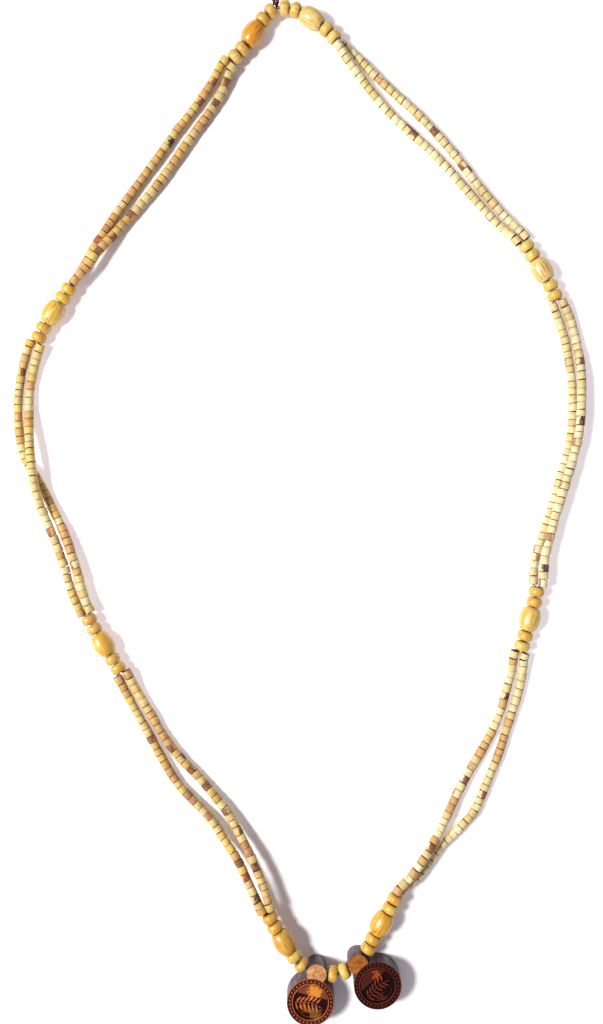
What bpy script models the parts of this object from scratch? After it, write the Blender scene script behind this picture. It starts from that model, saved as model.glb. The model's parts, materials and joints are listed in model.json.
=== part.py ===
"""A long bead necklace with two round carved pendants, laid out as a closed loop on a table.

Metres, +Z up. The necklace lies on z = 0 with its loop centred on the origin, the knot at +Y and
the pendants at -Y. One long thread goes round the loop twice: both runs share the bores of the
large beads, and between those each run carries its own row of small tube beads.
"""
import math

import bpy
import bmesh
from mathutils import Matrix, Vector
from mathutils.geometry import interpolate_bezier

MM = 0.001

# Driving dimensions in millimetres.
THREAD_DIAMETER = 0.5
THREAD_SPACE = 0.2          # between the two runs where they share a bore
BORE_CLEARANCE = 0.3        # round the two runs in a shared bore
TUBE_BORE_CLEARANCE = 0.55  # round the single run in a tube bead
BEAD_GAP = 0.3              # between neighbouring pieces on the thread

TUBE_DIAMETER = 4.3         # tube bead, sawn from a thin round stick
TUBE_LENGTH = 3.2
ROW_SPACE = 0.4             # between the two rows where they leave a large bead
RONDELLE_DIAMETER = 7.2     # squat turned bead
RONDELLE_LENGTH = 4.4
RONDELLE_FACE = 4.2         # diameter of its flat ends
OVAL_DIAMETER = 9.4         # barrel-shaped turned bead
OVAL_LENGTH = 10.6
OVAL_FACE = 5.2
KNOT_GAP = 1.2              # between the two beads that flank the knot
KNOT_DIAMETER = 2.2
KNOT_REACH = RONDELLE_DIAMETER / 2      # from the thread out to the knot's middle

DISC_DIAMETER = 21.0        # pendant: a carved slice of branch
DISC_THICKNESS = 10.0
BAIL_DIAMETER = 9.0         # pendant: the twig slice that carries it
SADDLE_DEPTH = 2.3          # how far the disc reaches into the bail
GLUE_GAP = 0.3
RIM_WIDTH = 0.55            # carved face, from the edge inwards
CHANNEL_WIDTH = 1.75
CHANNEL_DEPTH = 0.6
INNER_RIM_WIDTH = 0.65
FIELD_DEPTH = 1.0

# Worked out from the sizes above.
THREAD_R = THREAD_DIAMETER / 2
LANE = THREAD_R + THREAD_SPACE / 2
BORE_R = LANE + THREAD_R + BORE_CLEARANCE
TUBE_R = TUBE_DIAMETER / 2
TUBE_BORE_R = THREAD_R + TUBE_BORE_CLEARANCE
ROW_OFFSET = TUBE_R + ROW_SPACE / 2
FAN_GAP = 2 * THREAD_R + 0.25   # from a large bead to the first tube bead of a row
LEAD_IN = 2.0                   # straight start of a row
CHAIN_REST = 0.25               # spare height, for the large beads do not all lie level
BEADS_PER_STATION = 3           # a row's bend is resolved at every third tube bead
DISC_R = DISC_DIAMETER / 2
BAIL_R = BAIL_DIAMETER / 2
BAIL_REACH = DISC_R + BAIL_R - SADDLE_DEPTH     # bail centre to disc centre
LENGTHS = {"rondelle": RONDELLE_LENGTH, "oval": OVAL_LENGTH, "bail": BAIL_DIAMETER, "knot": KNOT_GAP}
FACES = {"rondelle": RONDELLE_FACE, "oval": OVAL_FACE, "bail": BAIL_DIAMETER / 3, "knot": 0}

OUTER, INNER = 1, -1            # sides of the loop, walking it clockwise from the knot
MIDDLE = Vector((-1.24, 1.33, 0))   # middle of the lists below; it is moved to the origin

# The large beads hang together in six chains. Points are (x, y, lift): lift is the height of the
# thread above that of a barrel bead which rests on the table.
GROUP = ["rondelle", "rondelle", "oval", "rondelle", "rondelle"]
CHAINS = {
    "top": (GROUP + ["knot"] + GROUP,
            [(-29.2, 203.2, -0.6), (-25, 207.4, -0.3), (-21, 213.2, 0), (-17, 219.6, 0),
             (-11, 224.4, 0), (-3.5, 223.6, 0), (3.5, 220.6, 0), (9.6, 216.4, 0), (13.8, 211.9, -0.1)]),
    "upper_right": (GROUP, [(99, 120, -0.6), (103, 114, -0.4), (108, 106.5, 0), (111, 100, -0.3),
                            (113.5, 94.5, -0.6)]),
    "lower_right": (GROUP, [(105, -33, 0.1), (103.5, -40, 0), (101.5, -48, 0), (99.5, -55, -0.3),
                            (97.5, -62, -0.6)]),
    "bottom": (GROUP + ["bail", "rondelle", "rondelle", "bail"] + GROUP,
               [(41.6, -171.2, 1.3), (38.8, -176.6, 1.4), (34.7, -183.6, 1.2), (31.2, -190.8, 0.9),
                (27.7, -197, 1.0), (22.8, -201.4, 1.2), (17.4, -204.5, 1.2), (12.4, -204.9, 1.3),
                (6.4, -203.4, 1.5), (0.4, -201.2, 1.9), (-3.5, -196.6, 2.3), (-7.5, -190.2, 2.7),
                (-11.4, -184, 3.1), (-14, -179, 3.3)]),
    "lower_left": (GROUP, [(-80.5, -71.5, -0.6), (-84, -66, -0.4), (-88, -59, 0), (-92.5, -52, -0.3),
                           (-95.5, -46, -0.4)]),
    "upper_left": (GROUP, [(-118, 76, -0.7), (-115, 82, -0.4), (-110.5, 89, 0), (-106, 95.5, 0),
                           (-102.5, 101, 0)]),
}

# Between the chains run two rows of tube beads. Points are (x, y, lift): lift is the height of the
# thread above that of a tube bead which rests on the table. The fans give, at each end, how far the
# pair of rows is rolled about the thread: at 0 they lie side by side, below 0 the inner row is up.
# The lists are drawn for tube beads of this radius; thicker ones push the two rows apart.
DRAWN_TUBE_R = 2.15
ROWS = {
    "top_right": dict(
        ends=("top", "upper_right"), fans=(-50, -15), crossing=False,
        inner=[(21, 200.5, 3.2), (25.5, 195, 1.8), (32, 187, 0.4), (39.5, 178.5, 0), (47.5, 171, 0),
               (58, 161.5, 0), (67, 152, 0), (75, 143, 0), (83, 134, 0), (90.5, 126.5, 0)],
        outer=[(22, 206, 0), (27, 201.5, 0), (34, 194.5, 0), (42, 187, 0), (50, 180, 0),
               (58.5, 171.5, 0), (66, 163, 0), (72.5, 155, 0), (78.5, 147, 0), (86, 138, 0),
               (94, 129.5, 0)]),
    "right": dict(
        ends=("upper_right", "lower_right"), fans=(0, 40), crossing=False,
        inner=[(116, 83.5, 0), (118.5, 74.5, 0), (120, 66, 0), (121, 57, 0), (121.5, 47, 0),
               (121, 38, 0), (119.5, 29, 0), (117, 20, 0), (114, 9, 0), (110, -4, 0), (106, -16, 0),
               (103.5, -25, 0.4)],
        outer=[(120.5, 86, 0), (122.7, 77, 0.4), (124, 69, 1.4), (124.5, 61, 3.1), (124.3, 52, 4),
               (124, 43, 4.2), (123, 34, 4.2), (120.5, 24, 4.1), (117, 12, 4.1), (113.5, 1, 4.2),
               (110.5, -10, 4.1), (108, -20, 4)]),
    "bottom_right": dict(
        ends=("lower_right", "bottom"), fans=(0, -60), crossing=False,
        inner=[(94, -71.5, 0), (91.8, -79, 0), (89.5, -88, 0), (85.5, -97.5, 0), (80.5, -107, 0),
               (75, -116, 0.3), (70, -125, 0.8), (66, -133, 1.6), (61.5, -141.5, 3.2), (57, -149, 5.4),
               (52, -156, 6.4), (47.5, -162, 6.3)],
        outer=[(98.7, -73, 0), (97, -81, 0), (94.5, -89, 0), (91.5, -98, 0), (88.5, -107.5, 0),
               (84.5, -117.5, 0), (80.5, -127, 0), (77, -134.5, 0), (72.5, -139.5, 0), (68.5, -144, 0.1),
               (63.5, -148, 0.3), (59.5, -152.5, 0.9), (54.5, -159, 1.6), (49.5, -165, 1.8)]),
    "bottom_left": dict(
        ends=("bottom", "lower_left"), fans=(-20, 0), crossing=False,
        inner=[(-16, -168, 6.6), (-18.5, -161, 6.2), (-22.5, -152, 5), (-27.5, -143, 3.4), (-33, -134, 1.8),
               (-39.5, -126, 0.6), (-46.5, -118, 0), (-53.5, -111, 0), (-60.5, -102, 0), (-67, -91, 0),
               (-73, -81, 0)],
        outer=[(-20.8, -169.5, 6), (-24.2, -162.5, 5.4), (-28.5, -154, 4.2), (-34.5, -145.5, 2.8),
               (-40, -137.5, 1.4), (-47.5, -130, 0.4), (-55.5, -121.5, 0), (-62, -111, 0),
               (-68.5, -99, 0), (-75, -87.5, 0)]),
    "left": dict(
        ends=("lower_left", "upper_left"), fans=(-15, 0), crossing=True,
        inner=[(-97.3, -36, 2.4), (-99.6, -27, 2.6), (-103, -17, 2), (-107, -7, 0.9), (-111.2, 1, 0.2),
               (-114.8, 8.5, 0), (-118.3, 15, 0), (-122.3, 21, 0), (-125, 27, 0), (-126.3, 35, 0),
               (-127, 46, 0), (-126.3, 56, 0), (-124.5, 66, 0)],
        outer=[(-102.8, -34.8, 2.3), (-105.3, -25, 2.9), (-108.9, -14.5, 3.2), (-112.8, -5, 3.6),
               (-116.2, 4, 4.3), (-118.4, 12, 4.9), (-119.5, 20, 4.9), (-120.4, 28, 4.2),
               (-121.3, 37, 2.4), (-121.8, 45, 0.6), (-121.6, 54, 0), (-120, 63, 0)]),
    "top_left": dict(
        ends=("upper_left", "top"), fans=(-75, 0), crossing=False,
        inner=[(-95.5, 108, 4.5), (-91.5, 114, 4.2), (-86, 121, 2.2), (-79.5, 129, 0.3), (-72, 137.5, 0),
               (-64.5, 146.5, 0), (-56.5, 157.5, 0), (-49, 168.5, 0), (-41.5, 178.5, 0), (-35.5, 188, 0)],
        outer=[(-98, 109, 0), (-94.5, 116, 0), (-89.5, 123.5, 0), (-83.5, 132.5, 0), (-77, 141.5, 0),
               (-70, 151, 0), (-63, 160.5, 0), (-56, 170.5, 0), (-48.5, 180, 0), (-41.5, 190, 0)]),
}

# Which way each pendant points from its bail, degrees in plan.
PENDANTS = {"right": -47, "left": -102}

COLOURS = {
    "tube_beads": ((0.78, 0.62, 0.36), 0.6),
    "rondelle": ((0.80, 0.55, 0.22), 0.4),
    "oval": ((0.78, 0.48, 0.13), 0.25),
    "thread": ((0.16, 0.07, 0.05), 0.8),
    "knot": ((0.22, 0.08, 0.05), 0.8),
    "disc": ((0.13, 0.05, 0.035), 0.5),
    "bail": ((0.17, 0.12, 0.11), 0.6),
}


# ---------------------------------------------------------------- routes

class Route:
    """A smooth curve through a few points, measured by its own length."""

    def __init__(self, points, steps=12):
        tangents = [(b - a).normalized() for a, b in zip(points[:1] + points[:-1], points[1:] + points[-1:])]
        self.line = [points[0]]
        for i, (a, b) in enumerate(zip(points, points[1:])):
            reach = (b - a).length / 3
            handles = a + tangents[i] * reach, b - tangents[i + 1] * reach
            self.line += interpolate_bezier(a, *handles, b, steps)[1:]
        self.marks = [0.0]
        for a, b in zip(self.line, self.line[1:]):
            self.marks.append(self.marks[-1] + (b - a).length)
        self.length = self.marks[-1]

    def at(self, s):
        """The point s along the curve; the ends go on straight."""
        i = 1
        while i < len(self.marks) - 1 and self.marks[i] < s:
            i += 1
        a, b = self.line[i - 1], self.line[i]
        return a + (b - a) * ((s - self.marks[i - 1]) / (self.marks[i] - self.marks[i - 1]))

    def step(self, s, chord):
        """How far along the curve a straight piece ends that starts at s."""
        near, far = s, s + chord * 2
        for _ in range(40):
            middle = (near + far) / 2
            if (self.at(middle) - self.at(s)).length < chord:
                near = middle
            else:
                far = middle
        return near


def outward(direction):
    """The horizontal direction towards the outside of the loop."""
    return Vector((0, 0, 1)).cross(direction).normalized()


class Chain:
    """Large beads end to end on a route; each is straight, so the thread bends between them."""

    def __init__(self, kinds, points):
        self.kinds = kinds
        rest = OVAL_DIAMETER / 2 + CHAIN_REST
        route = Route([Vector((x, y, z + rest)) - MIDDLE for x, y, z in points])
        gaps = [BEAD_GAP] * (len(kinds) + 1)
        for _ in range(8):
            self.lay(route, gaps)
            gaps = [BEAD_GAP] + [self.bent_gap(i) for i in range(1, len(kinds))] + [BEAD_GAP]
        self.gaps = gaps

    def lay(self, route, gaps):
        spans = [LENGTHS[kind] + (a + b) / 2 for kind, a, b in zip(self.kinds, gaps, gaps[1:])]
        s = (route.length - sum(spans)) / 2
        self.corners = [route.at(s)]
        for span in spans:
            s = route.step(s, span)
            self.corners.append(route.at(s))
        self.ways = [(b - a).normalized() for a, b in zip(self.corners, self.corners[1:])]

    def bent_gap(self, i):
        """Two flat ends need a wider gap where the thread bends, or their edges would meet."""
        bend = self.ways[i - 1].angle(self.ways[i])
        faces = FACES[self.kinds[i - 1]] + FACES[self.kinds[i]]
        return max(BEAD_GAP, BEAD_GAP / 2 + faces / 2 * math.tan(bend / 2))

    def place(self, i):
        """Centre and direction of piece i."""
        start = self.corners[i] + self.ways[i] * self.gaps[i] / 2
        return start + self.ways[i] * LENGTHS[self.kinds[i]] / 2, self.ways[i]

    def lane(self, side, first, last):
        """The thread's points from corner first to corner last, on one side of the bores."""
        points = []
        for i in range(first, last + 1):
            before, after = self.ways[max(i - 1, 0)], self.ways[min(i, len(self.ways) - 1)]
            points.append(self.corners[i] + outward(before + after) * LANE * side)
        return points


def row_end(chain, at_end, roll, side):
    """Where a row of tube beads meets a chain, and the direction of the walk there."""
    way = chain.ways[-1 if at_end else 0]
    across = outward(way)
    across = across * math.cos(math.radians(roll)) + way.cross(across) * math.sin(math.radians(roll))
    corner = chain.corners[-1] + way * FAN_GAP if at_end else chain.corners[0] - way * FAN_GAP
    return corner + across * ROW_OFFSET * side, way


def row_points(chains, row, side):
    """The stations of one row of tube beads, from the chain before it to the chain after it."""
    before, after = (chains[name] for name in row["ends"])
    start, start_way = row_end(before, True, row["fans"][0], side)
    end, end_way = row_end(after, False, row["fans"][1], -side if row["crossing"] else side)
    via = [Vector((x, y, z * TUBE_R / DRAWN_TUBE_R + TUBE_R)) - MIDDLE
           for x, y, z in row["outer" if side == OUTER else "inner"]]
    for k, (a, b) in enumerate(zip([start] + via[:-1], via[1:] + [end])):
        lean = side * (1 - 2 * k / (len(via) - 1)) if row["crossing"] else side
        via[k] += outward(b - a) * lean * (TUBE_R - DRAWN_TUBE_R)
    route = Route([start, start + start_way * LEAD_IN, *via, end - end_way * LEAD_IN, end])
    beads = round(route.length / TUBE_LENGTH)
    count = max(2, round(beads / BEADS_PER_STATION))
    stations = [route.at(route.length * k / count) for k in range(count + 1)]
    for station in stations:
        station.z = max(station.z, TUBE_R)
    return stations


def thread_points(chains, rows):
    """Both rounds of the one thread, from the knot to the knot."""
    top = chains["top"]
    middle = top.kinds.index("knot")
    centre, way = top.place(middle)
    stem = outward(way) * (KNOT_REACH - KNOT_DIAMETER / 2 - GLUE_GAP)
    tips = [centre + way * side * LANE + stem for side in (-1, 1)]
    feet = [centre + way * side * LANE + outward(way) * LANE for side in (-1, 1)]
    side = OUTER
    points = [tips[1], feet[1]]
    for _ in range(2):
        points += top.lane(side, middle + 1, len(top.ways))
        for row in ROWS.values():
            nudge = THREAD_DIAMETER / 5
            start, start_way = row_end(chains[row["ends"][0]], True, row["fans"][0], side)
            points += [start - start_way * nudge] + rows[row["name"], side][1:-1]
            side = -side if row["crossing"] else side
            end, end_way = row_end(chains[row["ends"][1]], False, row["fans"][1], side)
            points.append(end + end_way * nudge)
            after = chains[row["ends"][1]]
            points += after.lane(side, 0, middle if after is top else len(after.ways))
    return points + [feet[0], tips[0]]


# ---------------------------------------------------------------- pieces

def material(kind):
    """The material of one kind of piece, made once."""
    mat = bpy.data.materials.get(kind)
    if mat is None:
        mat = bpy.data.materials.new(kind)
        mat.use_nodes = True
        shader = mat.node_tree.nodes["Principled BSDF"]
        colour, roughness = COLOURS[kind]
        shader.inputs["Base Color"].default_value = (*colour, 1)
        shader.inputs["Roughness"].default_value = roughness
        shader.inputs["Metallic"].default_value = 0
    return mat


def add_object(name, data, kind):
    ob = bpy.data.objects.new(name, data)
    bpy.context.scene.collection.objects.link(ob)
    if not data.materials:
        data.materials.append(material(kind))
    return ob


def turned_mesh(name, profile, sides):
    """A body turned about Z from a closed profile of (radius, height) points in millimetres."""
    bm = bmesh.new()
    verts = [bm.verts.new((r * MM, 0, z * MM)) for r, z in profile]
    edges = [bm.edges.new((a, b)) for a, b in zip(verts, verts[1:] + verts[:1])]
    bmesh.ops.spin(bm, geom=verts + edges, cent=(0, 0, 0), axis=(0, 0, 1), angle=2 * math.pi,
                   steps=sides, use_merge=True)
    bmesh.ops.remove_doubles(bm, verts=bm.verts, dist=1e-7)
    bmesh.ops.recalc_face_normals(bm, faces=bm.faces)
    mesh = bpy.data.meshes.new(name)
    bm.to_mesh(mesh)
    bm.free()
    mesh.shade_smooth()
    mesh.set_sharp_from_angle(angle=math.radians(40))
    return mesh


def rondelle_mesh():
    half, radius, face = RONDELLE_LENGTH / 2, RONDELLE_DIAMETER / 2, RONDELLE_FACE / 2
    side = [(face, half), (radius, half * 0.35)]
    return turned_mesh("rondelle", mirrored_profile(half, side), 10)


def oval_mesh():
    half, radius, face = OVAL_LENGTH / 2, OVAL_DIAMETER / 2, OVAL_FACE / 2
    side = [(face, half), (face + (radius - face) * 0.68, half * 0.62), (radius, half * 0.18)]
    return turned_mesh("oval", mirrored_profile(half, side), 12)


def mirrored_profile(half, side):
    """A bored bead's closed profile from the upper half of its side."""
    return ([(BORE_R, half)] + side + [(r, -z) for r, z in reversed(side)] + [(BORE_R, -half)])


def place_along(ob, centre, way):
    ob.location = centre * MM
    ob.rotation_mode = "QUATERNION"
    ob.rotation_quaternion = way.to_track_quat("Z", "Y")


def tube(name, points, radius, kind, wall=None):
    """A round tube along the points: solid with flat caps, or with a wall and so a bore."""
    curve = bpy.data.curves.new(name, "CURVE")
    curve.dimensions = "3D"
    curve.bevel_depth = radius * MM
    curve.bevel_resolution = 2 if wall else 1
    curve.use_fill_caps = wall is None
    spline = curve.splines.new("POLY")
    spline.points.add(len(points) - 1)
    for knot, point in zip(spline.points, points):
        knot.co = (*(point * MM), 1)
    ob = add_object(name, curve, kind)
    if wall:
        solid = ob.modifiers.new("wall", "SOLIDIFY")
        solid.thickness = wall * MM
        solid.offset = -1
        solid.use_even_offset = True
    return ob


def disc_mesh():
    """A slice of branch with a raised rim, a channel, an inner rim and a sunk field on top."""
    top = DISC_THICKNESS
    channel = DISC_R - RIM_WIDTH
    inner_rim = channel - CHANNEL_WIDTH
    field = inner_rim - INNER_RIM_WIDTH
    profile = [(DISC_R, 0), (DISC_R, top), (channel, top), (channel, top - CHANNEL_DEPTH),
               (inner_rim, top - CHANNEL_DEPTH), (inner_rim, top), (field, top), (field, top - FIELD_DEPTH)]
    bm = bmesh.new()
    verts = [bm.verts.new((r * MM, 0, z * MM)) for r, z in profile]
    edges = [bm.edges.new((a, b)) for a, b in zip(verts, verts[1:])]
    bmesh.ops.spin(bm, geom=verts + edges, cent=(0, 0, 0), axis=(0, 0, 1), angle=2 * math.pi,
                   steps=32, use_merge=True)
    bmesh.ops.remove_doubles(bm, verts=bm.verts, dist=1e-7)
    bmesh.ops.holes_fill(bm, edges=[e for e in bm.edges if e.is_boundary])
    bmesh.ops.recalc_face_normals(bm, faces=bm.faces)
    mesh = bpy.data.meshes.new("disc")
    bm.to_mesh(mesh)
    bm.free()
    return mesh


def cylinder_cutter(name, radius, length, sides):
    bm = bmesh.new()
    bmesh.ops.create_cone(bm, cap_ends=True, segments=sides, radius1=radius * MM, radius2=radius * MM,
                          depth=length * MM)
    mesh = bpy.data.meshes.new(name)
    bm.to_mesh(mesh)
    bm.free()
    ob = bpy.data.objects.new(name, mesh)
    bpy.context.scene.collection.objects.link(ob)
    ob.hide_render = True
    ob.display_type = "WIRE"
    return ob


def pendant(name, centre, way, heading):
    """Disc and bail of one pendant; their empty sits in the bail's bore, with X along the thread."""
    pivot = bpy.data.objects.new(name + "_pivot", None)
    bpy.context.scene.collection.objects.link(pivot)
    pivot.location = centre * MM
    pivot.rotation_euler = way.to_track_quat("X", "Z").to_euler()
    bpy.context.view_layer.update()

    foot = Vector((centre.x, centre.y, 0))
    reach = Matrix.Rotation(math.radians(heading), 3, "Z") @ Vector((BAIL_REACH, 0, 0))
    disc = add_object(name + "_disc", bpy.data.meshes.get("disc") or disc_mesh(), "disc")
    disc.location = (foot + reach) * MM
    disc.rotation_euler.z = math.radians(heading)

    bail = add_object(name + "_bail", turned_twig(), "bail")
    bail.location = foot * MM
    bail.rotation_euler.z = math.radians(heading)

    saddle = cylinder_cutter(name + "_saddle_cutter", DISC_R + GLUE_GAP, DISC_THICKNESS * 2, 32)
    saddle.location = (foot + reach + Vector((0, 0, DISC_THICKNESS / 2))) * MM
    saddle.rotation_euler.z = math.radians(heading)
    drill = cylinder_cutter(name + "_drill_cutter", BORE_R, BAIL_DIAMETER * 2, 10)
    place_along(drill, centre, way)
    for cutter in (saddle, drill):
        cut = bail.modifiers.new(cutter.name, "BOOLEAN")
        cut.operation = "DIFFERENCE"
        cut.object = cutter
    for ob in (disc, bail, saddle, drill):
        ob.parent = pivot
        ob.matrix_parent_inverse = pivot.matrix_world.inverted()


def turned_twig():
    """The bail before it is cut: a plain slice of twig that stands on the table."""
    bm = bmesh.new()
    bmesh.ops.create_cone(bm, cap_ends=True, segments=20, radius1=BAIL_R * MM, radius2=BAIL_R * MM,
                          depth=DISC_THICKNESS * MM,
                          matrix=Matrix.Translation((0, 0, DISC_THICKNESS / 2 * MM)))
    mesh = bpy.data.meshes.new("bail")
    bm.to_mesh(mesh)
    bm.free()
    return mesh


def tied_knot(chain):
    """The knot sits on the outer side of the gap between the two topmost beads."""
    centre, way = chain.place(chain.kinds.index("knot"))
    bm = bmesh.new()
    bmesh.ops.create_icosphere(bm, subdivisions=2, radius=KNOT_DIAMETER / 2 * MM)
    mesh = bpy.data.meshes.new("knot")
    bm.to_mesh(mesh)
    bm.free()
    knot = add_object("knot", mesh, "knot")
    knot.location = (centre + outward(way) * KNOT_REACH) * MM


# ---------------------------------------------------------------- assembly

def string_chain(name, chain):
    """One object for each large bead of a chain, numbered along the walk."""
    meshes = {"rondelle": rondelle_mesh, "oval": oval_mesh}
    numbers = dict.fromkeys(meshes, 0)
    for i, kind in enumerate(chain.kinds):
        centre, way = chain.place(i)
        if kind in meshes:
            numbers[kind] += 1
            mesh = bpy.data.meshes.get(kind) or meshes[kind]()
            bead = add_object(f"{name}_{kind}_{numbers[kind]}", mesh, kind)
            place_along(bead, centre, way)


def build():
    for ob in list(bpy.data.objects):
        bpy.data.objects.remove(ob, do_unlink=True)

    chains = {name: Chain(kinds, points) for name, (kinds, points) in CHAINS.items()}
    rows = {}
    for name, row in ROWS.items():
        row["name"] = name
        for side in (OUTER, INNER):
            rows[name, side] = row_points(chains, row, side)

    for name, chain in chains.items():
        string_chain(name, chain)
    for (name, side), points in rows.items():
        label = f"{name}_tube_beads_{'outer' if side == OUTER else 'inner'}"
        tube(label, points, TUBE_R, "tube_beads", wall=TUBE_R - TUBE_BORE_R)
    tube("thread", thread_points(chains, rows), THREAD_R, "thread")
    tied_knot(chains["top"])

    bottom = chains["bottom"]
    bails = [i for i, kind in enumerate(bottom.kinds) if kind == "bail"]
    for i, (name, heading) in zip(bails, PENDANTS.items()):
        pendant(name + "_pendant", *bottom.place(i), heading)


build()
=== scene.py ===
"""Looks of a long wooden bead necklace with two carved pendants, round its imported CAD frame."""

import json
import math
import random

import bmesh
import bpy
from mathutils import Matrix, Vector
from mathutils.geometry import interpolate_bezier

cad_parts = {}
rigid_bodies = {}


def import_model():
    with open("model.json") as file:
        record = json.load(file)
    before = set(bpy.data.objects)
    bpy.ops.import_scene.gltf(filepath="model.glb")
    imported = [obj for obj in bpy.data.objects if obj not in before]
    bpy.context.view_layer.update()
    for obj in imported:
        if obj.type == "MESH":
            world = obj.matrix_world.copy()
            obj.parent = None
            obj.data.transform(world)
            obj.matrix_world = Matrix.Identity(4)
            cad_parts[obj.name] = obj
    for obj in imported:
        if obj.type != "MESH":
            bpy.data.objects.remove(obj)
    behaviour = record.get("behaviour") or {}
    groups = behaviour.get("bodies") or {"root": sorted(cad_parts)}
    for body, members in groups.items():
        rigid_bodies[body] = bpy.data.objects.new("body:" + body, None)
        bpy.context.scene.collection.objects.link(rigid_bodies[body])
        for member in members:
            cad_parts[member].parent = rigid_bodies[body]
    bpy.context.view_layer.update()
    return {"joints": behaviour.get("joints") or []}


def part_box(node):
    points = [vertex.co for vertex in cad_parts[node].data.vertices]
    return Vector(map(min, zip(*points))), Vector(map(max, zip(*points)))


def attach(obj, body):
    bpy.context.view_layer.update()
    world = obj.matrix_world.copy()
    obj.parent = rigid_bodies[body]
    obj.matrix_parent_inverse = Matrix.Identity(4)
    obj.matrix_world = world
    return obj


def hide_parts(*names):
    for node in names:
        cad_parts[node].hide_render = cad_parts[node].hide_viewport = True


for startup_object in list(bpy.data.objects):
    bpy.data.objects.remove(startup_object)
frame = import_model()

MM = 0.001
OUTER, INNER = 1, -1            # sides of the loop, walking it clockwise from the knot
UP = Vector((0, 0, 1))

# Sizes of the pieces in millimetres, as in the part.
THREAD_R = 0.25
LANE = 0.35                     # of each run of the thread, from the middle of a shared bore
BORE_R = 0.9
TUBE_R = 2.15
ROW_OFFSET = 2.35
LEAD_IN = 2.0
RONDELLE_HALF, OVAL_HALF = 2.2, 5.3
DISC_R, DISC_TOP = 10.5, 10.0
BAIL_R = 4.5
GLUE_GAP = 0.3
MIDDLE = Vector((-1.24, 1.33, 0))

ROW_GAP = 0.5                   # from a large bead to the first tube bead, pulled up tight
TUBE_STEP = 3.4                 # mean length of a tube bead

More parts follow.
